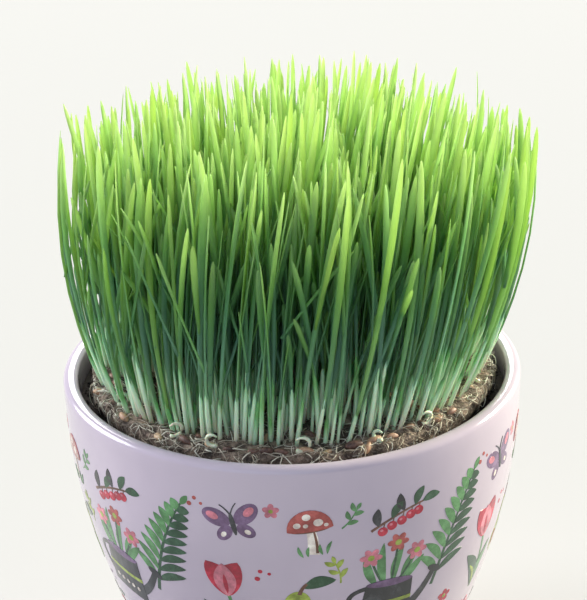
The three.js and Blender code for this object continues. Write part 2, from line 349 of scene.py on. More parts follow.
def leaf_material():
    """Leaf colour by the height on the shoot and in the clump, with painted shade in the lower middle of the
    clump, painted light on the upper leaves, veins along the leaf and light through it.
    """
    nodes = Nodes("grass_leaf")
    uv, up = nodes.along()
    tone = nodes.tone()
    height = nodes.math("ADD", up, nodes.range(tone, 0, 1, -0.1, 0.12), clamp=True)
    # The ramp holds the leaf's own pale foot and green, with painted shade that darkens and blues its lower
    # middle and painted light that makes its top pale.
    colour = nodes.ramp(height, [
        (0.0, (0.42, 0.60, 0.34)),
        (0.12, (0.29, 0.53, 0.28)),
        (0.28, (0.21, 0.46, 0.32)),
        (0.48, (0.16, 0.43, 0.22)),
        (0.63, (0.20, 0.49, 0.18)),
        (0.78, (0.40, 0.65, 0.33)),
        (1.0, (0.60, 0.71, 0.50)),
    ])
    fresh = nodes.mix(nodes.range(tone, 0.55, 1, 0, 0.55), colour, (0.34, 0.60, 0.08))
    # Painted shade: leaves of low tone turn dark bluish green below three quarters of the clump's height,
    # more so further down.
    low = nodes.math("MULTIPLY", nodes.range(tone, 0.45, 0, 0, 1), nodes.range(height, 0.75, 0.35, 0, 0.7))
    painted_shade_bluish = nodes.mix(low, fresh, (0.07, 0.195, 0.165))
    bands = {"Vector": uv, "Scale": 2.4, "Distortion": 0.3}
    wave = nodes.add("TexWave", bands, wave_type="BANDS", bands_direction="X", wave_profile="SIN")
    vein = wave.outputs["Fac"]
    shaded = nodes.mix(nodes.range(vein, 0.2, 1, 0, 0.2), painted_shade_bluish, (0.02, 0.09, 0.015))
    nodes.set(nodes.shader, {"Base Color": shaded, "Roughness": 0.4, "Specular IOR Level": 0.35})
    nodes.bump(vein, 0.3, 0.0004)
    through = nodes.add("BsdfTranslucent", {"Color": nodes.mix(0.5, shaded, (0.80, 0.93, 0.31))})
    thinness = nodes.range(height, 0.2, 0.8, 0.42, 0.66)
    blend = nodes.add("MixShader", {0: thinness, 1: nodes.shader.outputs[0], 2: through.outputs[0]})
    nodes.set(nodes.output, {"Surface": blend.outputs[0]})
    return nodes.material


def sheath_material():
    nodes = Nodes("pale_sheath")
    up = nodes.along()[1]
    height = nodes.math("ADD", up, nodes.range(nodes.tone(), 0, 1, -0.3, 0.4), clamp=True)
    colour = nodes.ramp(height, [
        (0.0, (0.78, 0.80, 0.60)),
        (0.25, (0.68, 0.87, 0.62)),
        (0.65, (0.58, 0.83, 0.55)),
        (0.85, (0.32, 0.62, 0.30)),
        (1.0, (0.16, 0.42, 0.13)),
    ])
    nodes.set(nodes.shader, {
        "Base Color": colour, "Roughness": 0.4, "Subsurface Weight": 0.3, "Subsurface Scale": 0.001})
    return nodes.material


def grain_material():
    nodes = Nodes("wheat_grain")
    spots = nodes.noise(nodes.object_place(), 900, 4, 0.6)
    hue = nodes.math("ADD", nodes.tone(), nodes.range(spots, 0.3, 0.7, -0.2, 0.2), clamp=True)
    colour = nodes.ramp(hue, [
        (0.0, (0.05, 0.026, 0.020)),
        (0.3, (0.19, 0.10, 0.075)),
        (0.6, (0.36, 0.20, 0.145)),
        (0.85, (0.48, 0.28, 0.175)),
        (1.0, (0.60, 0.44, 0.27)),
    ])
    nodes.set(nodes.shader, {"Base Color": colour, "Roughness": 0.5})
    nodes.bump(spots, 0.3, 0.0006)
    return nodes.material


def root_material():
    nodes = Nodes("fine_root")
    colour = nodes.ramp(nodes.tone(), [
        (0.0, (0.08, 0.055, 0.04)),
        (0.35, (0.36, 0.29, 0.22)),
        (0.7, (0.68, 0.62, 0.50)),
        (1.0, (0.84, 0.83, 0.72)),
    ])
    nodes.set(nodes.shader, {"Base Color": colour, "Roughness": 0.55})
    return nodes.material


# Pot

def outer_radius(height):
    below = max(0, (BAND_BOTTOM - height) / BAND_BOTTOM)
    return POT_RADIUS - FOOT_DRAW_IN * below**BELLY_POWER


def pot_profile():
    """Radius and height pairs from the foot, up the outside, over the lip and down the inside."""
    foot = outer_radius(0)
    profile = [(foot - 6, 0), (foot - 1.8, 0), (foot - 0.5, 0.5), (foot + 0.1, 1.8)]
    profile += [(outer_radius(z), z) for z in np.linspace(5, LIP_BOTTOM, 32)]
    lip = WALL / 2
    for i in range(LIP_STEPS + 1):
        angle = math.pi * i / LIP_STEPS
        radius = POT_RADIUS - lip + lip * math.cos(angle)
        profile.append((radius, POT_HEIGHT - LIP_RISE + LIP_RISE * math.sin(angle)))
    profile += [(outer_radius(z) - WALL, z) for z in np.linspace(LIP_BOTTOM, INSIDE_BOTTOM, 22)]
    profile += [(outer_radius(FLOOR) - WALL - 3, FLOOR), (INNERMOST_RING, FLOOR)]
    return profile


def turned(name, profile, sides):
    """A disc at the first ring, extruded ring by ring along the profile and closed by the last."""
    radius, height = profile[0]
    bpy.ops.mesh.primitive_circle_add(
        vertices=sides, radius=radius * MM, fill_type="NGON", location=(0, 0, height * MM))
    thing = named(name)
    settle(thing)
    bpy.ops.object.mode_set(mode="EDIT")
    bpy.ops.mesh.select_all(action="SELECT")
    for next_radius, next_height in profile[1:]:
        rise = (next_height - height) * MM
        grow = next_radius / radius
        bpy.ops.mesh.extrude_region_move(TRANSFORM_OT_translate={"value": (0, 0, rise)})
        bpy.ops.transform.resize(value=(grow, grow, 1), center_override=(0, 0, next_height * MM))
        radius, height = next_radius, next_height
    bpy.ops.mesh.select_all(action="SELECT")
    bpy.ops.mesh.remove_doubles(threshold=0.00001)
    bpy.ops.mesh.normals_make_consistent(inside=False)
    bpy.ops.object.mode_set(mode="OBJECT")
    bpy.ops.object.shade_smooth_by_angle(angle=math.radians(40))
    return thing


def make_pot():
    pot = turned("glazed_pot", pot_profile(), POT_SIDES)
    return finished(pot, glaze_material(), "glaze", "pot")


# The print under the glaze: small garden motifs in flat colours, wrapped round the pot

INKS = {
    "charcoal": (0.022, 0.024, 0.028),
    "deep_green": (0.022, 0.075, 0.032),
    "mid_green": (0.085, 0.23, 0.08),
    "olive": (0.27, 0.34, 0.045),
    "dusky_red": (0.36, 0.065, 0.055),
    "crimson": (0.42, 0.008, 0.035),
    "pink": (0.58, 0.17, 0.22),
    "purple_grey": (0.14, 0.075, 0.16),
    "brown": (0.13, 0.052, 0.03),
    "cream": (0.72, 0.62, 0.55),
}
INK_STEP = 0.05
INK_BURIED = 0.05
PATCH = 4
OUTLINE_POINTS = 28
BLADE_FULLNESS = 0.75
FERN_PAIRS = 9
FERN_SPREAD = 54.431
RUNS = 5
RUN_START = -126


def set_off(x, y, along, across, turn):
    """Points at distances along and across a turned line from a place, as one array."""
    return np.stack((x + along * math.cos(turn) - across * math.sin(turn),
                     y + along * math.sin(turn) + across * math.cos(turn)), -1)


def oval(x, y, half_length, half_width, tilt=0):
    turn = np.linspace(0, TURN, OUTLINE_POINTS, endpoint=False)
    return set_off(x, y, half_length * np.cos(turn), half_width * np.sin(turn), tilt)


def blade(x, y, length, width, degrees, bow=0.0):
    """A pointed leaf from a point, bowed to one side."""
    half = OUTLINE_POINTS // 2
    out = np.linspace(0, 1, half + 1)
    along = np.concatenate((out[:-1], out[:0:-1])) * length
    share = along / length
    across = width / 2 * np.sin(np.pi * share) ** BLADE_FULLNESS
    across[half:] *= -1
    across += bow * length * np.sin(np.pi * share)
    return set_off(x, y, along, across, math.radians(degrees))


def smooth_line(corners, share):
    """Places at shares of the way along a straight line of two corners or a curve past three."""
    corners = np.array(corners, float)
    if len(corners) == 2:
        return corners[0] + (corners[1] - corners[0]) * share[:, None]
    first, middle, last = corners
    line = ((1 - share) ** 2)[:, None] * first + (2 * share * (1 - share))[:, None] * middle
    return line + (share**2)[:, None] * last


def ribbon(corners, first_width, last_width):
    """A strip of changing width along a smooth line past the corners."""
    half = OUTLINE_POINTS // 2
    line = smooth_line(corners, np.linspace(0, 1, half))
    along = one_long(np.gradient(line, axis=0))
    across = np.stack((-along[:, 1], along[:, 0]), -1)
    width = np.linspace(first_width, last_width, half)[:, None] / 2
    return np.concatenate((line + across * width, (line - across * width)[::-1]))


def dome(x, y, half_width, height, sag):
    """A cap: an arch above, a shallow curve below."""
    half = OUTLINE_POINTS // 2
    over = np.linspace(0, math.pi, half)
    under = np.linspace(math.pi, 0, half + 2)[1:-1]
    top = np.stack((x + half_width * np.cos(over), y + height * np.sin(over)), -1)
    below = np.stack((x + half_width * np.cos(under), y - sag * np.sin(under)), -1)
    return np.concatenate((top, below))


class Brush:
    """Lays the shapes of one motif on the flat sheets that are wrapped round the pot, one sheet per ink."""

    def __init__(self, sheets, degrees, height, size, tilt):
        self.sheets = sheets
        self.along = math.radians(degrees) * POT_RADIUS
        self.height = height
        self.size = size
        self.tilt = math.radians(tilt)
        self.widen = POT_RADIUS / outer_radius(height)

    def paint(self, ink, layer, outline):
        x, y = outline[:, 0] * self.size, outline[:, 1] * self.size
        across = x * math.cos(self.tilt) - y * math.sin(self.tilt)
        up = x * math.sin(self.tilt) + y * math.cos(self.tilt)
        flat = np.stack((self.along + across * self.widen, self.height + up), -1)
        self.sheets.setdefault(ink, []).append((layer, flat))

    def petals(self, ink, layer, count, place, ring, half_length, half_width, start=0.0):
        """Ovals that point outwards round a place."""
        for i in range(count):
            turn = TURN * i / count + start
            x, y = place[0] + ring * math.cos(turn), place[1] + ring * math.sin(turn)
            self.paint(ink, layer, oval(x, y, half_length, half_width, turn))


def paint_tulip(brush, ink="crimson", light="pink"):
    brush.paint("mid_green", 1, ribbon([(-1, -19), (1.5, -8), (0, 4)], 1.5, 1.1))
    brush.paint("deep_green", 2, blade(-1, -19, 21, 5, 112, -0.1))
    brush.paint("mid_green", 2, blade(-0.6, -18.5, 17, 4.6, 62, 0.12))
    brush.paint("olive", 3, blade(-0.8, -18, 13, 1.5, 113, -0.1))
    for side in (-1, 1):
        brush.paint(ink, 2, blade(0, 3, 14.5, 8.5, 90 - 20 * side, 0.1 * side))
    brush.paint(light, 3, blade(0, 3, 13, 7, 90))
    brush.paint(ink, 4, blade(0, 4, 8, 1.4, 90))


def paint_daisy(brush, ink):
    brush.paint("mid_green", 1, ribbon([(-3, -20), (1, -12), (0, -1)], 1.2, 0.9))
    brush.paint("deep_green", 2, blade(-1.2, -15, 9, 3.6, 40, 0.1))
    brush.paint("mid_green", 2, blade(-1, -12, 8, 3.2, 145, -0.1))
    brush.petals(ink, 3, 9, (0, 0), 4.3, 2.9, 1.25, 0.2)
    brush.paint("olive", 4, oval(0, 0, 2.2, 2.1))
    brush.paint("brown", 5, oval(0.3, -0.3, 1.0, 0.9))


def paint_fern(brush, ink="deep_green"):
    rib = [(-3, -19), (-2, 4), (4, 19)]
    brush.paint(ink, 1, ribbon(rib, 1.3, 0.6))
    for i in range(FERN_PAIRS):
        share = (i + 1) / (FERN_PAIRS + 1)
        x, y = smooth_line(rib, np.array([share]))[0]
        length = 10.5 * (1 - share) ** 0.7 + 2
        for side, green in ((-1, ink), (1, "mid_green")):
            degrees = 88 - 24 * share + side * FERN_SPREAD
            brush.paint(green, 2, blade(x, y, length, 2.9, degrees, -0.08 * side))
    brush.paint("mid_green", 2, blade(3.9, 18.5, 4, 2, 65))


def paint_mushroom(brush, ink="dusky_red"):
    brush.paint("cream", 1, ribbon([(-0.5, -12), (1, -6), (0, 1)], 5.4, 3.6))
    brush.paint("brown", 2, ribbon([(1.4, -11.6), (2, -6), (1.2, 0)], 1.3, 0.8))
    brush.paint("brown", 3, oval(0, 0.4, 8.2, 1.5))
    brush.paint(ink, 4, dome(0, 0.6, 9.4, 9, 1.1))
    for x, y, size in ((-5, 3.2, 1.3), (-0.8, 6.6, 1.5), (3.6, 3.4, 1.7), (-1.6, 2.6, 0.9), (6.6, 1.8, 0.8)):
        brush.paint("cream", 5, oval(x, y, size * 1.15, size))
    for x, degrees, length in ((-4.5, 105, 6), (-2.6, 80, 5), (3.4, 96, 5.5), (5.2, 66, 6.5)):
        brush.paint("mid_green", 3, blade(x, -12.8, length, 1.5, degrees, 0.08))


def paint_butterfly(brush, ink="purple_grey", spot="pink"):
    for side in (-1, 1):
        brush.paint(ink, 1, oval(side * 5.4, 3.2, 5.3, 3.3, side * 0.62))
        brush.paint(ink, 1, oval(side * 3.9, -3.3, 3.6, 2.5, -side * 0.75))
        brush.paint(spot, 2, oval(side * 6.6, 4.1, 2.3, 1.4, side * 0.62))
        brush.paint("cream", 2, oval(side * 4.4, -3.8, 1.2, 0.9, -side * 0.75))
        brush.paint("charcoal", 3, ribbon([(0.2 * side, 4), (1.2 * side, 6.5), (3 * side, 8)], 0.5, 0.35))
    brush.paint("charcoal", 3, oval(0, 0, 4.6, 0.95, math.pi / 2))


def paint_berries(brush, ink="crimson"):
    brush.paint("brown", 1, ribbon([(-9, -6), (0, 1), (10, 4)], 1.1, 0.7))
    for x, y, degrees in ((-6.5, -4.2, 100), (-2, -1.2, 62), (2.5, 1.4, 112), (6.6, 3, 70), (9.6, 4, 15)):
        green = "charcoal" if degrees > 90 else "deep_green"
        brush.paint(green, 2, blade(x, y, 7.4, 3.4, degrees, 0.08))
    for x, y in ((-4.6, -6.4), (-1.4, -4.2), (2.2, -2.6), (5.4, -0.6), (8.4, 0.6)):
        brush.paint("brown", 1, ribbon([(x, y), (x + 0.2, y + 3.4)], 0.5, 0.5))
        brush.paint(ink, 3, oval(x, y, 1.9, 1.8))
        brush.paint("pink", 4, oval(x - 0.6, y + 0.6, 0.6, 0.5))


def paint_can(brush):
    """A watering can with flowers standing in it."""
    for x, degrees, length in ((-4.5, 112, 15), (-1.8, 98, 18), (1, 84, 16), (3.8, 70, 15), (5.4, 58, 11)):
        brush.paint("mid_green", 1, blade(x, 5, length, 3, degrees, 0.06))
    for x, y, ink in ((-8, 17.5, "pink"), (0.6, 22, "dusky_red"), (8, 17, "pink")):
        brush.paint("deep_green", 1, ribbon([(x * 0.25, 5), (x * 0.8, 12), (x, y)], 0.9, 0.8))
        brush.petals(ink, 2, 6, (x, y), 2, 1.7, 1.1)
        brush.paint("olive", 3, oval(x, y, 1.1, 1.1))
    brush.paint("charcoal", 2, ribbon([(-7.6, 5), (-19, 3), (-8.6, -8)], 1.7, 1.7))
    brush.paint("charcoal", 2, ribbon([(8, -7), (13, -4), (16.5, 5.4)], 3.8, 2.2))
    brush.paint("charcoal", 3, oval(17, 6.4, 3.1, 1.4, -0.5))
    brush.paint("charcoal", 3, ribbon([(0, -12), (0, 6)], 20, 16.5))
    brush.paint("purple_grey", 4, oval(0, 6, 8.2, 1.5))
    brush.paint("olive", 4, ribbon([(-9.1, -2.2), (0, -3), (9.1, -2.2)], 1.5, 1.5))
    for x in (-6, -3, 0, 3, 6):
        brush.paint("cream", 5, oval(x, -7.6, 0.8, 0.8))


def paint_acorn(brush):
    brush.paint("brown", 1, oval(0, -2.4, 5.6, 4, math.pi / 2))
    brush.paint("dusky_red", 2, oval(-1.4, -2.6, 3.4, 1.2, math.pi / 2))
    brush.paint("olive", 3, dome(0, 1.3, 5, 3.6, 0.9))
    brush.paint("brown", 2, ribbon([(0, 4.2), (0.4, 6), (1.8, 7.4)], 1.1, 0.8))
    brush.paint("deep_green", 1, blade(1.5, 6.4, 10, 4.2, -8, 0.1))
    brush.paint("mid_green", 1, blade(0.6, 5.6, 9, 4, 165, -0.1))


def paint_pear(brush):
    brush.paint("olive", 1, oval(0, -4, 8.4, 7.6))
    brush.paint("olive", 2, oval(0.3, 4.6, 4.6, 6.4))
    brush.paint("mid_green", 3, oval(3.4, -5, 3, 5.6, 0.25))
    brush.paint("dusky_red", 3, oval(-4, -4.6, 1.9, 3.6, 0.2))
    brush.paint("brown", 3, ribbon([(0.4, 9.6), (0.6, 12.4), (2.2, 14.6)], 1.4, 1.0))
    brush.paint("deep_green", 2, blade(1.2, 12.6, 11, 5, 22, 0.1))


def paint_sprig(brush, ink):
    brush.paint(ink, 1, ribbon([(-1.2, -5), (0.6, -1), (0, 5)], 0.7, 0.5))
    for y, side in ((-2.6, 1), (-0.4, -1), (1.8, 1), (3.6, -1)):
        brush.paint(ink, 2, blade(0, y, 4.4, 2, 90 - 48 * side, 0.08))
    brush.paint(ink, 2, blade(0, 4.4, 3.4, 1.6, 88))


def paint_blossom(brush, ink):
    brush.petals(ink, 1, 5, (0, 0), 1.9, 1.6, 1.25, 0.3)
    brush.paint("olive", 2, oval(0, 0, 0.9, 0.9))


def paint_dots(brush, ink):
    for x, y, size in ((-2, -0.6, 0.9), (0.8, 1.1, 0.75), (2.4, -1.4, 0.6)):
        brush.paint(ink, 1, oval(x, y, size, size))


# One run of motifs: what is painted, degrees along the run, height, size, tilt in degrees, and its inks.
MOTIFS = [
    (paint_berries, 5, 127, 1.0, -8),
    (paint_fern, 22, 111, 1.22, -10),
    (paint_butterfly, 40, 128, 1.0, 12),
    (paint_mushroom, 57, 126, 0.85, 7),
    (paint_can, 4, 91, 1.1, -4),
    (paint_tulip, 37.5, 92, 1.15, 5),
    (paint_pear, 53, 88, 1.05, -8),
    (paint_mushroom, 0, 52, 1.05, -6, "crimson"),
    (paint_acorn, 19.5, 62, 1.1, 14),
    (paint_daisy, 37.5, 56, 1.1, 6, "pink"),
    (paint_berries, 55, 58, 0.95, 12, "dusky_red"),
    (paint_tulip, 14, 28, 0.8, -8, "purple_grey", "pink"),
    (paint_butterfly, 28, 37, 0.8, -14, "dusky_red", "olive"),
    (paint_fern, 49, 30, 0.75, 20, "mid_green"),
    (paint_acorn, 63, 25, 0.8, -20),
    (paint_blossom, 23.5, 78, 0.95, 0, "crimson"),
    (paint_dots, 45.5, 107, 1.1, 40, "crimson"),
    (paint_sprig, 63.5, 107, 1.0, 20, "olive"),
    (paint_dots, 31, 135, 1.0, 20, "dusky_red"),
    (paint_blossom, 48.5, 134, 0.85, 0, "pink"),
    (paint_sprig, 66, 129, 0.9, -30, "mid_green"),
    (paint_dots, 62, 75, 1.0, 0, "purple_grey"),
    (paint_blossom, 28.5, 62, 0.8, 0, "crimson"),
    (paint_sprig, 45, 44, 0.9, 10, "mid_green"),
    (paint_dots, 9, 71, 0.9, 60, "crimson"),
    (paint_blossom, 38, 20, 0.9, 0, "pink"),
]


def lay_motifs():
    """The run of motifs several times round the pot, as outlines and layers for each ink."""
    sheets = {}
    for run in range(RUNS):
        start = RUN_START + 360 / RUNS * run
        for paint, degrees, height, size, tilt, *inks in MOTIFS:
            paint(Brush(sheets, start + degrees, height, size, tilt), *inks)
    return sheets


def wrap_on_pot(points):
    """Flat points (along the wall, up, out) wrapped round the pot."""
    angle = points[:, 0] / POT_RADIUS - math.pi / 2
    below = np.clip((BAND_BOTTOM - points[:, 1]) / BAND_BOTTOM, 0, None)
    radius = POT_RADIUS - FOOT_DRAW_IN * below**BELLY_POWER + points[:, 2]
    return np.stack((radius * np.cos(angle), radius * np.sin(angle), points[:, 1]), -1)


def cut_in_patches(sheet):
    """Cuts a flat sheet on a grid, so that it can bend round the pot."""
    make_active(sheet)
    points = points_of(sheet.data)
    low, high = points.min(0), points.max(0)
    bpy.ops.object.mode_set(mode="EDIT")
    bpy.ops.mesh.select_all(action="SELECT")
    bpy.ops.mesh.quads_convert_to_tris(quad_method="BEAUTY", ngon_method="BEAUTY")
    for axis, normal in enumerate(((1, 0, 0), (0, 1, 0))):
        for place in np.arange(low[axis] + PATCH, high[axis], PATCH):
            bpy.ops.mesh.select_all(action="SELECT")
            bpy.ops.mesh.bisect(plane_co=tuple(place * share for share in normal), plane_no=normal)
    bpy.ops.object.mode_set(mode="OBJECT")


def thicken(sheet):
    """Gives a flat sheet a thickness of one unit."""
    make_active(sheet)
    bpy.ops.object.mode_set(mode="EDIT")
    bpy.ops.mesh.select_all(action="SELECT")
    bpy.ops.mesh.extrude_region_move(TRANSFORM_OT_translate={"value": (0, 0, 1)})
    bpy.ops.mesh.select_all(action="SELECT")
    bpy.ops.mesh.normals_make_consistent(inside=False)
    bpy.ops.object.mode_set(mode="OBJECT")


def make_print():
    """One piece per ink: each motif's shapes as thin solids that stand a hair above the glaze."""
    bpy.ops.mesh.primitive_circle_add(vertices=OUTLINE_POINTS, radius=1, fill_type="NGON", location=(0, 0, 0))
    disc = named("patch_of_ink")
    for ink, shapes in lay_motifs().items():
        parts = []
        for layer, outline in shapes:
            parts.append(copy_with(disc, np.pad(outline, ((0, 0), (0, 1))), "layer", layer))
        sheet = joined("print_" + ink, parts)
        cut_in_patches(sheet)
        thicken(sheet)
        points = points_of(sheet.data)
        levels = np.empty(len(points))
        sheet.data.attributes["layer"].data.foreach_get("value", levels)
        points[:, 2] = np.where(points[:, 2] > 0.5, INK_STEP * levels, -INK_BURIED)
        move_points(sheet.data, wrap_on_pot(points) * MM)
        sheet.data.attributes.remove(sheet.data.attributes["layer"])
        finished(sheet, ink_material(ink, INKS[ink]), "glaze")
    bpy.data.objects.remove(disc)


# Shoots: the same rule as the solids' own

def row_lines(draw):
    """The middle line of each row, along rings round the pot's axis."""
    lines = []
    for ring in range(RINGS):
        radius = FIRST_RING + (LAST_RING - FIRST_RING) * ring / (RINGS - 1)
        rows = max(1, math.floor(TURN * radius / ROW_LENGTH + 0.5))
        start = draw() * TURN
        sweep = TURN / rows - ROW_END_GAP / radius
        chords = max(2, math.ceil(sweep / CHORD_ANGLE))
        for row in range(rows):
            first = start + row * TURN / rows
            line = []
            for i in range(chords + 1):
                angle = first + sweep * i / chords
                wander = radius + spread(draw, ROW_WANDER)
                line.append((wander * math.cos(angle), wander * math.sin(angle) * RING_FLATTEN + MAT_BACK))
            lines.append(np.array(line))
    return lines


def footholds(line, draw):
    """Where the shoots of a row stand."""
    places = []
    carried = STRIP_HALF_WIDTH
    for start, end in zip(line, line[1:]):
        along = end - start
        length = math.hypot(*along)
        along = along / length
        across = np.array((-along[1], along[0]))
        at = carried
        while at < length:
            place = start + along * at + across * spread(draw, SHOOT_OFFSET)
            if math.hypot(*(place - line[-1])) > STRIP_HALF_WIDTH:
                places.append(place)
            at += SHOOT_STEP + spread(draw, SHOOT_STEP_JITTER)
        carried = at - length
    return places


def draw_shoot(foot, draw, wildness):
    """Foot, height, slope x and y, bend x and y, yaw and twist of a shoot, as one row of numbers."""
    middle = np.array((foot[0], foot[1] - MAT_BACK))
    outward = math.hypot(*middle) / LAST_RING
    edge = min(1, max(0, (outward - SPLAY_FROM) / (1 - SPLAY_FROM)))
    splay = middle / math.hypot(*middle) * SPLAY * edge**2
    stunted = 1
    if draw() < STUNTED_SHARE:
        stunted = between(draw, STUNTED_LEAST, STUNTED_MOST)
    full = TALLEST * (1 - EDGE_SHORTER * outward**EDGE_POWER)
    stray = STRAY_FACTOR if draw() < STRAY_SHARE else 1
    lean = LEAN_SPREAD * stray * wildness
    bend = BEND_SPREAD * wildness
    height = full * stunted * (1 - HEIGHT_SPREAD * draw())
    slope_x = splay[0] + LEAN_MEAN + LEAN_PER_MM * foot[0] + spread(draw, lean)
    slope_y = splay[1] + spread(draw, lean)
    bend_x = spread(draw, bend) - SPLAY_RECOVERY * splay[0]
    bend_y = spread(draw, bend) - SPLAY_RECOVERY * splay[1]
    yaw = draw() * math.pi
    twist = spread(draw, MOST_TWIST)
    return np.array((foot[0], foot[1], height, slope_x, slope_y, bend_x, bend_y, yaw, twist))


def stem_at(shoot, t):
    """Where a shoot's middle line is, sideways, at a share t of its height."""
    x = shoot[0] + shoot[2] * (shoot[3] * t + shoot[5] * t * t)
    y = shoot[1] + shoot[2] * (shoot[4] * t + shoot[6] * t * t)
    return x, y


def in_reach(shoot, reach):
    tip = stem_at(shoot, 1)
    return math.hypot(tip[0] - TIP_MIDDLE[0], tip[1] - TIP_MIDDLE[1]) < reach


def leaf_edges(shoots, above):
    """Both edges of each leaf at each height, as an array of shoots, heights, edges and x, y."""
    columns = [shoots[:, i : i + 1] for i in range(shoots.shape[1])]
    t = above[None, :] / columns[2]
    x, y = stem_at(columns, t)
    yaw = columns[7] + columns[8] * t
    half = np.interp(t, STATIONS, WIDTHS) / 2
    side = np.stack((np.cos(yaw) * half, np.sin(yaw) * half), -1)
    middle = np.stack((x, y), -1)
    return np.stack((middle + side, middle - side), -2)


def to_segment(point, ends):
    """Distance from a point to a segment."""
    along = ends[..., 1, :] - ends[..., 0, :]
    length = np.maximum((along**2).sum(-1), 1e-9)
    share = np.clip(((point - ends[..., 0, :]) * along).sum(-1) / length, 0, 1)
    return np.linalg.norm(point - ends[..., 0, :] - along * share[..., None], axis=-1)


def side_of(ends, point):
    """Which side of a segment's line a point is on, as a sign."""
    along = ends[..., 1, :] - ends[..., 0, :]
    out = point - ends[..., 0, :]
    return along[..., 0] * out[..., 1] - along[..., 1] * out[..., 0]


def segment_gap(one, other):
    crossing = (side_of(one, other[..., 0, :]) * side_of(one, other[..., 1, :]) < 0) & (
        side_of(other, one[..., 0, :]) * side_of(other, one[..., 1, :]) < 0)
    nearest = np.minimum.reduce([
        to_segment(one[..., 0, :], other),
        to_segment(one[..., 1, :], other),
        to_segment(other[..., 0, :], one),
        to_segment(other[..., 1, :], one),
    ])
    return np.where(crossing, 0, nearest)


def clear_of_all(shoot, standing, wanted):
    """Whether a shoot keeps the wanted distance from each standing one at every height both reach."""
    if not len(standing):
        return True
    near = np.hypot(standing[:, 0] - shoot[0], standing[:, 1] - shoot[1]) <= NEAR_ENOUGH
    standing, wanted = standing[near], wanted[near]
    if not len(standing):
        return True
    above = np.arange(0, shoot[2] + 1e-9, CLEAR_STEP)
    one = leaf_edges(shoot[None, :], above)
    others = leaf_edges(standing, above)
    gap = segment_gap(np.broadcast_to(one, others.shape), others)
    reached = above[None, :] <= np.minimum(shoot[2], standing[:, 2])[:, None]
    return not (reached & (gap < wanted[:, None])).any()


def grow_all(lines, draw):
    """Every shoot of the solids, and the row that each stands in."""
    shoots = np.empty((0, 9))
    rows = np.empty(0, int)
    for row, line in enumerate(lines):
        for foot in footholds(line, draw):
            wanted = np.where(rows == row, CLEAR_SAME_ROW, CLEAR_OTHER_ROW)
            for attempt in range(TRIES):
                shoot = draw_shoot(foot, draw, 1 - attempt / TRIES)
                if in_reach(shoot, TIP_REACH) and clear_of_all(shoot, shoots, wanted):
                    shoots = np.vstack((shoots, shoot))
                    rows = np.append(rows, row)
                    break
    return shoots, rows


# Leaves

LEAF_CUTS = [0.07, 0.18, 0.34, 0.52, 0.7, 0.84, 0.92, 0.97]
# Widths, thicknesses and fold at shares of a leaf's height, and the radii of a sheath.
LEAF_WIDTHS = ([0, 0.06, 0.2, 0.45, 0.65, 0.85, 0.92, 0.97, 1],
               [1.0, 1.25, 1.7, 2.3, 2.75, 2.6, 2.2, 1.5, 0.4])
LEAF_NARROWEST = 0.82
LEAF_WIDEST = 1.0
LEAF_THICKNESSES = ([0, 0.12, 0.4, 0.9, 1], [1.2, 0.7, 0.45, 0.35, 0.2])
LEAF_FOLD = ([0, 0.15, 0.5, 1], [0.6, 0.55, 0.3, 0.15])
HALF_SECTION = math.sqrt(3) / 4
SHEATH_CUTS = [0.2, 0.55, 0.85]
SHEATH_LEAST = 11
SHEATH_MOST = 32
SHEATH_HIGHEST_SHARE = 0.45
SHEATH_THINNEST = 0.55
SHEATH_THICKEST = 0.92
SHEATH_RADII = ([0, 0.2, 0.55, 0.85, 1], [0.95, 1.12, 1.05, 0.9, 0.35])
SHEATH_LIP = 2.6
SHEATH_SUNK = 2.4
FIRST_LEAF_FROM = 0.7
SECOND_LEAF_FROM = 0.75
SECOND_SHARE = 0.72
SECOND_LEAST = 0.55
SECOND_MOST = 0.97
SECOND_LEAST_LEFT = 0.35
SECOND_SPREAD_LEAST = 0.08
SECOND_SPREAD_MOST = 0.38
SECOND_NARROWER = 0.85
SECOND_HIGHEST_START = 0.5
DROOP_SHARE = 0.2
DROOP_MOST = 0.3
FILLING_SHOOTS = 740
FILLING_NEAREST = 2.3
FILLING_FARTHEST = 5
FILLING_SHORTER = 0.36
FILLING_WILDNESS = 2.1
FILLING_CLEAR = 0.5
FILLING_NARROWER = 0.85
FILLING_FRESHEST = 0.7
FILLING_REACH = 74.5
FILLING_TRIES = 5
ADDED_REACH = TIP_REACH - 1
TOP_LIMIT = 262


def unit_bar(name, sides, cuts, material):
    """A bar one unit tall on the origin, cut across at each share of its height.

    Its faces look inwards, because laying it along a stem or a curve turns them round."""
    bpy.ops.mesh.primitive_cylinder_add(
        vertices=sides, radius=0.5, depth=1, end_fill_type="NGON", location=(0, 0, 0.5))
    bar = named(name)
    settle(bar)
    bpy.ops.object.mode_set(mode="EDIT")
    for cut in cuts:
        bpy.ops.mesh.select_all(action="SELECT")
        bpy.ops.mesh.bisect(plane_co=(0, 0, cut), plane_no=(0, 0, 1))
    bpy.ops.mesh.select_all(action="SELECT")
    bpy.ops.mesh.flip_normals()
    bpy.ops.object.mode_set(mode="OBJECT")
    bpy.ops.object.shade_smooth()
    bar.data.materials.append(material)
    return bar


def on_stem(shoot, t, across, deep):
    """Points at shares t of a shoot's height, set off across its leaf and square to the leaf's face."""
    x, y = stem_at(shoot, t)
    line = np.stack((x, y, MAT_TOP + shoot[2] * t), -1)
    tangent = np.stack((shoot[3] + 2 * shoot[5] * t, shoot[4] + 2 * shoot[6] * t, np.ones_like(t)), -1)
    tangent = one_long(tangent)
    yaw = shoot[7] + shoot[8] * t
    side = np.stack((np.cos(yaw), np.sin(yaw), np.zeros_like(t)), -1)
    side = one_long(side - tangent * (side * tangent).sum(1)[:, None])
    face = np.cross(side, tangent)
    return (line + side * across[:, None] + face * deep[:, None]) * MM


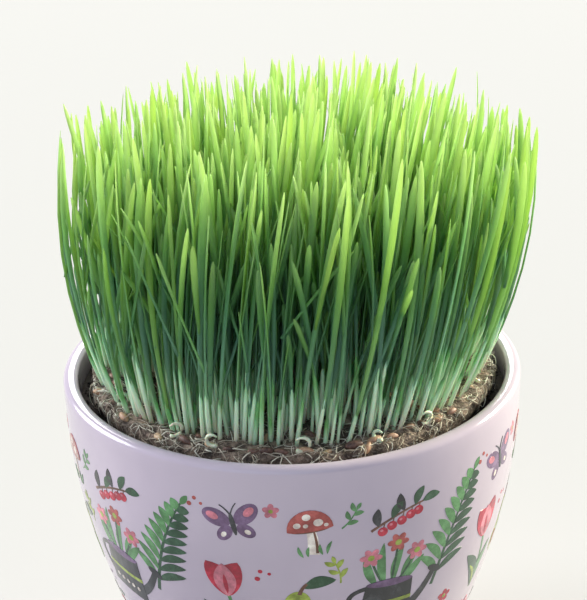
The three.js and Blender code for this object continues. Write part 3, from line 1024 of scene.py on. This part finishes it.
def leaf_points(shoot, unit, start, narrower):
    """A leaf from the height start to the shoot's tip: narrow and thick at its foot, folded at its rib."""
    share = unit[:, 2]
    first = start / shoot[2]
    across = unit[:, 0] / HALF_SECTION / 2 * np.interp(share, *LEAF_WIDTHS) * narrower
    deep = unit[:, 1] * np.interp(share, *LEAF_THICKNESSES)
    deep += np.abs(across) * np.interp(share, *LEAF_FOLD)
    return on_stem(shoot, first + (1 - first) * share, across, deep)


def sheath_points(shoot, unit, top, thickness):
    """The pale tube round a shoot's foot, with a slanting mouth."""
    share = unit[:, 2]
    radius = np.interp(share, *SHEATH_RADII) * thickness
    height = -SHEATH_SUNK + (top + SHEATH_SUNK) * share + SHEATH_LIP * unit[:, 0] * share**4
    return on_stem(shoot, height / shoot[2], unit[:, 0] * 2 * radius, unit[:, 1] * 2 * radius)


def copy_of(pattern, points, uv_up, tone):
    """A copy of a pattern with its own mesh and points, a UV map along it and a tone."""
    thing = copy_with(pattern, points, "tone", tone)
    mesh = thing.data
    corners = np.empty(len(mesh.loops), int)
    mesh.loops.foreach_get("vertex_index", corners)
    uv_across = points_of(pattern.data)[corners, 0] / HALF_SECTION / 2 + 0.5
    layer = mesh.uv_layers[0]
    layer.name = "along"
    layer.data.foreach_set("uv", np.stack((uv_across, uv_up[corners]), -1).ravel())
    return thing


def colour_height(points, shoot):
    """How far up a point is for the leaf's colour: half of its own leaf, half of the tallest one, so that the
    painted light and shade in the leaf's colour follow the height in the whole clump.
    """
    above = points[:, 2] / MM - MAT_TOP
    return np.clip(0.5 * above / shoot[2] + 0.5 * above / TALLEST, 0, 1)


def second_leaf(shoot, start, draw):
    """A younger leaf that leaves the first one at a height, or nothing where it would reach too far."""
    turn = shoot[7] + math.pi / 2
    away = between(draw, SECOND_SPREAD_LEAST, SECOND_SPREAD_MOST)
    share = between(draw, SECOND_LEAST, SECOND_MOST)
    share = max(share, start / shoot[2] + SECOND_LEAST_LEFT)
    droop = DROOP_MOST * draw() if draw() < DROOP_SHARE else 0
    sign = 1 if draw() < 0.5 else -1
    twist = spread(draw, 2 * MOST_TWIST)
    for side in (sign, -sign):
        toward = way(turn) * side
        leaf = shoot.copy()
        leaf[2] = shoot[2] * share
        leaf[0:2] -= toward * away * start
        leaf[3:5] += toward * away
        leaf[5:7] = shoot[5:7] * share + toward * droop
        leaf[8] = shoot[8] + twist
        if in_reach(leaf, ADDED_REACH) and leaf[2] + MAT_TOP < TOP_LIMIT:
            return leaf
    return None


class Grower:
    """Lays leaves and sheaths on shoots."""

    def __init__(self, draw):
        self.draw = draw
        self.leaf = unit_bar("leaf", 6, LEAF_CUTS, leaf_material())
        self.sheath = unit_bar("sheath", 6, SHEATH_CUTS, sheath_material())
        self.leaf_unit = points_of(self.leaf.data)
        self.sheath_unit = points_of(self.sheath.data)

    def lay_leaf(self, shoot, start, narrower, tone):
        points = leaf_points(shoot, self.leaf_unit, start, narrower)
        return copy_of(self.leaf, points, colour_height(points, shoot), tone)

    def lay_shoot(self, shoot, narrower, freshest):
        """The sheath and the one or two leaves of a shoot."""
        tone = freshest * self.draw()
        narrower *= between(self.draw, LEAF_NARROWEST, LEAF_WIDEST)
        top = min(between(self.draw, SHEATH_LEAST, SHEATH_MOST), SHEATH_HIGHEST_SHARE * shoot[2])
        thickness = between(self.draw, SHEATH_THINNEST, SHEATH_THICKEST)
        points = sheath_points(shoot, self.sheath_unit, top, thickness)
        parts = [copy_of(self.sheath, points, self.sheath_unit[:, 2], self.draw())]
        parts.append(self.lay_leaf(shoot, top * FIRST_LEAF_FROM, narrower, tone))
        if self.draw() < SECOND_SHARE:
            highest = max(top, SECOND_HIGHEST_START * shoot[2])
            start = between(self.draw, top * SECOND_LEAF_FROM, highest)
            leaf = second_leaf(shoot, start, self.draw)
            if leaf is not None:
                parts.append(self.lay_leaf(leaf, start, narrower * SECOND_NARROWER, freshest * self.draw()))
        return parts

    def finish(self):
        """Takes the patterns away."""
        bpy.data.objects.remove(self.leaf)
        bpy.data.objects.remove(self.sheath)


def grow_filling(shoots, draw):
    """More shoots between those of the solids, each next to one of them and clear of them all."""
    filling = []
    wanted = np.full(len(shoots), FILLING_CLEAR)
    while len(filling) < FILLING_SHOOTS:
        neighbour = shoots[int(draw() * len(shoots))]
        turn = draw() * TURN
        foot = neighbour[0:2] + way(turn) * between(draw, FILLING_NEAREST, FILLING_FARTHEST)
        if math.hypot(foot[0], (foot[1] - MAT_BACK) / RING_FLATTEN) > FILLING_REACH:
            continue
        for attempt in range(FILLING_TRIES):
            shoot = draw_shoot(foot, draw, FILLING_WILDNESS * (1 - attempt / FILLING_TRIES))
            shoot[2] *= 1 - FILLING_SHORTER * draw()
            if in_reach(shoot, ADDED_REACH) and clear_of_all(shoot, shoots, wanted):
                filling.append(shoot)
                break
    return filling


def make_grass(shoots, rows, draw):
    """One piece of leaves for each row of the solids, and four of shoots between the rows."""
    grower = Grower(draw)
    for row in range(rows.max() + 1):
        parts = []
        for shoot in shoots[rows == row]:
            parts += grower.lay_shoot(shoot, 1, 1)
        leaves = joined(f"leaves_{row + 1:02d}", parts)
        finished(leaves, None, "leaf", f"shoots_{row + 1:02d}")
    quarters = {"front": [], "right": [], "back": [], "left": []}
    for shoot in grow_filling(shoots, draw):
        x, y = shoot[0], shoot[1] - MAT_BACK
        if abs(x) > abs(y):
            quarter = "right" if x > 0 else "left"
        else:
            quarter = "back" if y > 0 else "front"
        quarters[quarter] += grower.lay_shoot(shoot, FILLING_NARROWER, FILLING_FRESHEST)
    for quarter, parts in quarters.items():
        finished(joined(f"more_leaves_{quarter}", parts), None, "leaf")
    grower.finish()


# Soil, felt, grains and roots

MAT_SIDES = 220
MAT_BOTTOM = SOIL_TOP + 0.3
# Radius and height over its underside of the felt's edge, then the radii of the rings on its top.
FELT_EDGE = [(70, 0), (75.5, 0), (77.6, 0.6), (78.3, 2), (78.4, 3.3), (78.3, 4.9), (77.8, 6.3), (77, 7.1)]
FELT_RINGS = [*np.arange(76, 55, -1.4), *np.arange(54, 2, -3.4)]
FELT_LUMP = 1.5
FELT_GRAIN = 0.55
FELT_SINK = 0.3
FELT_TOP_FROM = 147.2
FELT_SIDE_FROM = 76.5
FELT_RAGGED = 0.9
GRAIN_FROM_EDGE = 1.5
GRAIN_RISE = 0.25
GRAIN_TILT = 0.15
GRAIN_SMALLEST = 0.72
GRAIN_SIZE_SPREAD = 0.4
EXTRA_GRAIN_TRIES = 420
EXTRA_GRAINS_APART = 4.6
EXTRA_GRAINS_OUTERMOST = 77
EXTRA_GRAINS_BAND = 40
EXTRA_GRAIN_SINK = 0.4
EXTRA_GRAIN_RISE_SPREAD = 0.9
EXTRA_GRAIN_TILT = 0.6
ROOTS = 1300
SIDE_ROOTS = 420
ROOT_CUTS = [0.17, 0.33, 0.5, 0.67, 0.83]
ROOT_STEPS = 6
ROOTS_OUTERMOST = 77.5
ROOTS_BAND = 30
ROOT_FARTHEST = 78
ROOT_THINNEST = 0.09
ROOT_THICKNESS_SPREAD = 0.17
SIDE_ROOT_LOWEST = 140.6
SPROUT_CUTS = [0.1, 0.21, 0.32, 0.43, 0.54, 0.65, 0.76, 0.88]
# Pale sprouts that curl over the felt: angle round the pot in degrees, ring, turn and size of the curl.
CURLS = [(-88, 75, 0.2, 2.7), (-112, 75, 2.8, 2.2), (-124, 74.5, 0.5, 2.6), (-67, 75, 2.6, 1.9),
         (-51, 74.5, 0.6, 2.3), (-20, 74, 2.0, 2.2), (-150, 73, 0.2, 2.4), (35, 74, 1.5, 2.5),
         (84, 73, 2.5, 2.1), (140, 74, 0.6, 2.7)]
CRUMBS = 420
CRUMBS_INNERMOST = 76.8
CRUMBS_OUTERMOST = 82.3


def on_mat(radius, angle):
    """A place on the mat, whose middle lies a little behind the pot's."""
    return np.array((radius * math.cos(angle), radius * math.sin(angle) + MAT_BACK))


def joined_copies(name, pattern, parts, slot):
    """Joins the copies of a pattern into one finished piece and takes the pattern away."""
    bpy.data.objects.remove(pattern)
    return finished(joined(name, parts), None, slot)


def make_soil(draw):
    """The soil's material, and crumbs along the ring of it that shows between the felt and the wall."""
    material = soil_material()
    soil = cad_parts["soil"]
    soil.data.materials.clear()
    soil.data.materials.append(material)
    bpy.ops.mesh.primitive_ico_sphere_add(subdivisions=1, radius=1, location=(0, 0, 0))
    crumb = named("crumb")
    settle(crumb)
    crumb.data.materials.append(material)
    unit = points_of(crumb.data)
    parts = []
    for _ in range(CRUMBS):
        size = 0.35 + 0.75 * draw() ** 2
        angle = draw() * TURN
        radius = CRUMBS_INNERMOST + (CRUMBS_OUTERMOST - CRUMBS_INNERMOST - size) * draw()
        squash = np.array((0.7 + 0.5 * draw(), 0.7 + 0.5 * draw(), 0.6 + 0.4 * draw()))
        place = np.array((radius * math.cos(angle), radius * math.sin(angle), SOIL_TOP + size * 0.4))
        parts.append(copy_of(crumb, (unit * squash * size + place) * MM, unit[:, 2], draw()))
    return joined_copies("soil_crumbs", crumb, parts, "soil")


def ragged_radius(angle):
    slow = np.sin(3 * angle + 0.7) + np.sin(5 * angle + 2.1)
    quick = np.sin(11 * angle + 1.3) + np.sin(17 * angle)
    return 1 + MAT_WAVE * (0.35 * slow + 0.25 * quick) / MAT_RADIUS


def felt_height(x, y):
    """The lumps of the felt's top at a place, above and below its mean."""
    coarse = noise.noise(Vector((x / 6, y / 6, 3.7)))
    fine = noise.noise(Vector((x / 2.2, y / 2.2, 8.1)))
    return FELT_LUMP * coarse + FELT_GRAIN * fine


def make_felt():
    """The felted disc: turned, then made wavy all round, lumpy on top and ragged at its side."""
    profile = [(radius, MAT_BOTTOM + height) for radius, height in FELT_EDGE]
    profile += [(radius, MAT_TOP) for radius in FELT_RINGS]
    felt = turned("root_felt", profile, MAT_SIDES)
    points = points_of(felt.data) / MM
    angle = np.arctan2(points[:, 1], points[:, 0])
    points[:, :2] *= ragged_radius(angle)[:, None]
    for point in points:
        radius = math.hypot(point[0], point[1])
        if point[2] > FELT_TOP_FROM:
            point[2] += felt_height(point[0], point[1]) - FELT_SINK
        elif radius > FELT_SIDE_FROM:
            push = noise.noise(Vector((point[0] / 3, point[1] / 3, point[2] / 2.5)))
            point[:2] *= 1 + FELT_RAGGED * (push - 0.25) / radius
    points[:, 1] += MAT_BACK
    move_points(felt.data, points * MM)
    return finished(felt, felt_material(), "root_mat", "seed_mat")


def lay_grains(lines, draw):
    """Middle and turn of each grain of the solids, between the rows."""
    ends = np.concatenate([np.stack((line[:-1], line[1:]), 1) for line in lines])
    needed = STRIP_HALF_WIDTH + GRAIN_WIDTH / 2 + GRAIN_CLEAR
    grains = []
    for _ in range(GRAIN_TRIES):
        if len(grains) == GRAINS:
            break
        radius = math.sqrt(draw()) * (MAT_RADIUS - GRAIN_FROM_EDGE - GRAIN_WIDTH / 2)
        angle = draw() * TURN
        turn = angle + math.pi / 2 + spread(draw, GRAIN_TURN)
        middle = on_mat(radius, angle)
        reach = way(turn) * GRAIN_LENGTH / 3
        spots = np.array((middle, middle + reach, middle - reach))
        free = (to_segment(spots[:, None, :], ends[None]) > needed).all()
        if free and all(math.hypot(*(middle - other)) > GRAIN_LENGTH for other, _ in grains):
            grains.append((middle, turn))
    return grains


def lay_extra_grains(places, draw):
    """Adds grains along the mat's edge, at all angles, where the ones laid before leave room."""
    for _ in range(EXTRA_GRAIN_TRIES):
        radius = EXTRA_GRAINS_OUTERMOST - EXTRA_GRAINS_BAND * draw() ** 1.5
        x, y = on_mat(radius, draw() * TURN)
        turn = draw() * TURN
        rise = spread(draw, EXTRA_GRAIN_RISE_SPREAD) - EXTRA_GRAIN_SINK
        if all(math.hypot(x - place[0], y - place[1]) > EXTRA_GRAINS_APART for place in places):
            places.append((x, y, turn, rise + felt_height(x, y - MAT_BACK), EXTRA_GRAIN_TILT))


def grain_pattern():
    """A wheat grain one unit long, wide and high: pointed at its germ, creased along its top."""
    bpy.ops.mesh.primitive_uv_sphere_add(segments=12, ring_count=8, radius=0.5, location=(0, 0, 0))
    grain = named("grain")
    settle(grain)
    points = points_of(grain.data)
    taper = 1 - 0.3 * np.clip(points[:, 2] * 2, 0, 1) ** 2
    points[:, :2] *= taper[:, None]
    crease = np.exp(-((points[:, 0] / 0.12) ** 2)) * (1 - (2 * points[:, 2]) ** 2)
    points[:, 1] -= np.where(points[:, 1] > 0, 0.16 * crease, 0)
    move_points(grain.data, points)
    bpy.ops.object.shade_smooth()
    grain.data.materials.append(grain_material())
    return grain


def make_grains(lines, draw, own_draw):
    """The grains of the solids and more, half sunk in the felt."""
    pattern = grain_pattern()
    unit = points_of(pattern.data)[:, (2, 0, 1)] * np.array((GRAIN_LENGTH, GRAIN_WIDTH, GRAIN_HEIGHT))
    places = [(*middle, turn, GRAIN_RISE, GRAIN_TILT) for middle, turn in lay_grains(lines, draw)]
    lay_extra_grains(places, own_draw)
    parts = []
    for x, y, turn, rise, most_tilt in places:
        tilt = Matrix.Rotation(spread(own_draw, most_tilt), 3, "Y")
        roll = Matrix.Rotation(own_draw() * TURN, 3, "X")
        turned_by = np.array(Matrix.Rotation(turn, 3, "Z") @ (tilt @ roll))
        size = GRAIN_SMALLEST + GRAIN_SIZE_SPREAD * own_draw()
        points = unit @ turned_by.T * size + np.array((x, y, MAT_TOP + rise))
        parts.append(copy_of(pattern, points * MM, unit[:, 0], own_draw()))
    return joined_copies("wheat_grains", pattern, parts, "root_mat")


def round_curve(curve, unit, radii):
    """Points of a unit bar laid round a curve of points."""
    shares = np.linspace(0, 1, len(curve))
    tangent = one_long(np.gradient(curve, axis=0))
    side = one_long(np.cross(tangent, np.array((0.31, 0.17, 0.94))))
    face = np.cross(side, tangent)
    thick = 2 * np.interp(unit[:, 2], *radii)[:, None]

    def at(rows):
        return np.stack([np.interp(unit[:, 2], shares, rows[:, i]) for i in range(3)], -1)

    return (at(curve) + (at(side) * unit[:, 0:1] + at(face) * unit[:, 1:2]) * thick) * MM


def root_on_top(draw):
    """A root that wanders over the felt and lifts off it here and there."""
    radius = ROOTS_OUTERMOST - ROOTS_BAND * draw() ** 1.6
    place = radius * way(draw() * TURN)
    heading = draw() * TURN
    turn = spread(draw, 0.9)
    step = 0.9 + 1.3 * draw()
    arch = 0.4 + 2.2 * draw() ** 3
    curve = []
    for i in range(ROOT_STEPS + 1):
        lift = arch * math.sin(math.pi * i / ROOT_STEPS) + 0.1
        if math.hypot(*place) > ROOT_FARTHEST:
            place *= ROOT_FARTHEST / math.hypot(*place)
        curve.append((place[0], place[1] + MAT_BACK, MAT_TOP - FELT_SINK + felt_height(*place) + lift))
        place = place + way(heading) * step
        heading += turn
    return np.array(curve)


def root_on_side(draw):
    """A root that hangs from the felt's edge and creeps over its side."""
    angle = draw() * TURN
    drift = spread(draw, 0.075)
    bow = 0.2 + 1.5 * draw() ** 2
    high = MAT_TOP + 0.6 - 3.5 * draw() ** 2
    low = high - 1 - (high - SIDE_ROOT_LOWEST) * draw()
    sway = spread(draw, 0.9)
    start = 76.6 if high > MAT_TOP - 0.5 else 78
    curve = []
    for i in range(ROOT_STEPS + 1):
        share = i / ROOT_STEPS
        turn = angle + drift * share + 0.02 * math.sin(5 * share + 6 * sway)
        out = start + (MAT_RADIUS - start) * min(1, 3 * share) + bow * math.sin(math.pi * share)
        height = high + (low - high) * share + 0.7 * math.sin(math.pi * share * 2 + sway)
        curve.append((*on_mat(out * ragged_radius(turn), turn), max(MAT_BOTTOM, height)))
    return np.array(curve)


def make_roots(draw):
    """Fine roots over the felt's top and side."""
    pattern = unit_bar("root", 4, ROOT_CUTS, root_material())
    unit = points_of(pattern.data)
    parts = []
    for i in range(ROOTS + SIDE_ROOTS):
        curve = root_on_top(draw) if i < ROOTS else root_on_side(draw)
        thick = ROOT_THINNEST + ROOT_THICKNESS_SPREAD * draw() ** 1.5
        points = round_curve(curve, unit, ([0, 0.5, 1], [thick, thick * 0.9, thick * 0.4]))
        parts.append(copy_of(pattern, points, unit[:, 2], draw()))
    return joined_copies("fine_roots", pattern, parts, "root_mat")


def curl(angle, ring, turn, size):
    """A bent sprout: out of the felt, round three quarters of a small ring and back."""
    foot = on_mat(ring, angle)
    curve = []
    for round_by in np.linspace(-0.7, 3.9, 10):
        place = foot + way(turn) * size * math.sin(round_by) * 1.1
        curve.append((*place, MAT_TOP + 0.6 + size * (0.8 - math.cos(round_by))))
    return np.array(curve)


def make_curls(draw):
    """Sprouts that curl at the mat's edge."""
    pattern = unit_bar("sprout", 7, SPROUT_CUTS, sheath_material())
    unit = points_of(pattern.data)
    parts = []
    for degrees, ring, turn, size in CURLS:
        curve = curl(math.radians(degrees), ring, turn, size)
        points = round_curve(curve, unit, ([0, 0.7, 1], [0.85, 0.7, 0.3]))
        parts.append(copy_of(pattern, points, unit[:, 2] * 0.3, 0.5 * draw()))
    return joined_copies("curled_sprouts", pattern, parts, "leaf")


# Stage

def swung(one, other, angle):
    """Two square directions turned together, the first towards the second."""
    return one * math.cos(angle) + other * math.sin(angle), other * math.cos(angle) - one * math.sin(angle)


def make_camera():
    """A pinhole camera that puts the middle of the rim on its pixel, rolled a little."""
    forward = Vector((0, math.cos(CAMERA_ELEVATION), -math.sin(CAMERA_ELEVATION)))
    right = Vector((1, 0, 0))
    up = right.cross(forward)
    place = Vector((0, 0, POT_HEIGHT * MM)) - forward * CAMERA_DISTANCE * MM
    pitch = math.atan((RIM_Y_PX - PICTURE_HEIGHT / 2) / FOCAL_PX)
    yaw = math.atan((RIM_X_PX - PICTURE_WIDTH / 2) / FOCAL_PX * math.cos(pitch))
    forward, up = swung(forward, up, pitch)
    right, forward = swung(right, forward, yaw)
    right, up = swung(right, up, CAMERA_ROLL)
    data = bpy.data.cameras.new("camera")
    data.sensor_width = SENSOR
    data.lens = FOCAL_PX / PICTURE_HEIGHT * SENSOR
    data.clip_start = 0.01
    camera = bpy.data.objects.new("camera", data)
    turn = Matrix((right, up, -forward)).transposed().to_4x4()
    camera.matrix_world = Matrix.Translation(place) @ turn
    bpy.context.scene.collection.objects.link(camera)
    bpy.context.scene.camera = camera


def make_floor():
    """A pale matt floor, wider than any view."""
    bpy.ops.mesh.primitive_plane_add(size=12, location=(0, 0, 0))
    floor = named("floor")
    nodes = Nodes("pale_floor")
    colour = (0.33, 0.33, 0.335)
    nodes.set(nodes.shader, {"Base Color": colour, "Roughness": 0.9, "Specular IOR Level": 0.1})
    floor.data.materials.append(nodes.material)


def add_light(name, place, strength, degrees, colour):
    """A far soft light from the side of a place, as wide in the sky as the degrees."""
    data = bpy.data.lights.new(name, "SUN")
    data.energy = strength
    data.angle = math.radians(degrees)
    data.color = colour
    light = bpy.data.objects.new(name, data)
    turn = (-Vector(place)).to_track_quat("-Z", "Y").to_matrix().to_4x4()
    light.matrix_world = Matrix.Translation(place) @ turn
    bpy.context.scene.collection.objects.link(light)


def make_lights():
    """Windows behind and beside the pot, a weak fill in front, and a pale room all round."""
    add_light("window_back", (-0.1, 1, 0.8), 4.2, 40, (1, 0.99, 0.95))
    add_light("window_left", (-1, 0.35, 0.48), 3.5, 40, (0.97, 0.97, 1))
    add_light("window_right", (1, 0.55, 0.43), 8.8, 27, (1, 0.95, 0.74))
    add_light("front_fill", (-0.3, -1, 0.5), 0.65, 60, (0.66, 0.79, 1))
    world = bpy.data.worlds.new("pale_room")
    world.use_nodes = True
    tree = world.node_tree
    lit = tree.nodes["Background"]
    lit.inputs["Color"].default_value = (0.80, 0.875, 1, 1)
    lit.inputs["Strength"].default_value = 0.42
    seen = tree.nodes.new("ShaderNodeBackground")
    seen.inputs["Color"].default_value = (0.83, 0.83, 0.82, 1)
    blend = tree.nodes.new("ShaderNodeMixShader")
    tree.links.new(tree.nodes.new("ShaderNodeLightPath").outputs["Is Camera Ray"], blend.inputs[0])
    tree.links.new(lit.outputs[0], blend.inputs[1])
    tree.links.new(seen.outputs[0], blend.inputs[2])
    tree.links.new(blend.outputs[0], tree.nodes["World Output"].inputs["Surface"])
    bpy.context.scene.world = world
    bpy.context.scene.view_settings.view_transform = "Standard"


make_camera()
make_floor()
make_lights()

draw = random_stream(SEED)
own_draw = random_stream(SEED + 1)
lines = row_lines(draw)
shoots, rows = grow_all(lines, draw)

make_pot()
make_print()
make_soil(own_draw)
make_felt()
make_grains(lines, draw, own_draw)
make_roots(own_draw)
make_curls(own_draw)
make_grass(shoots, rows, own_draw)
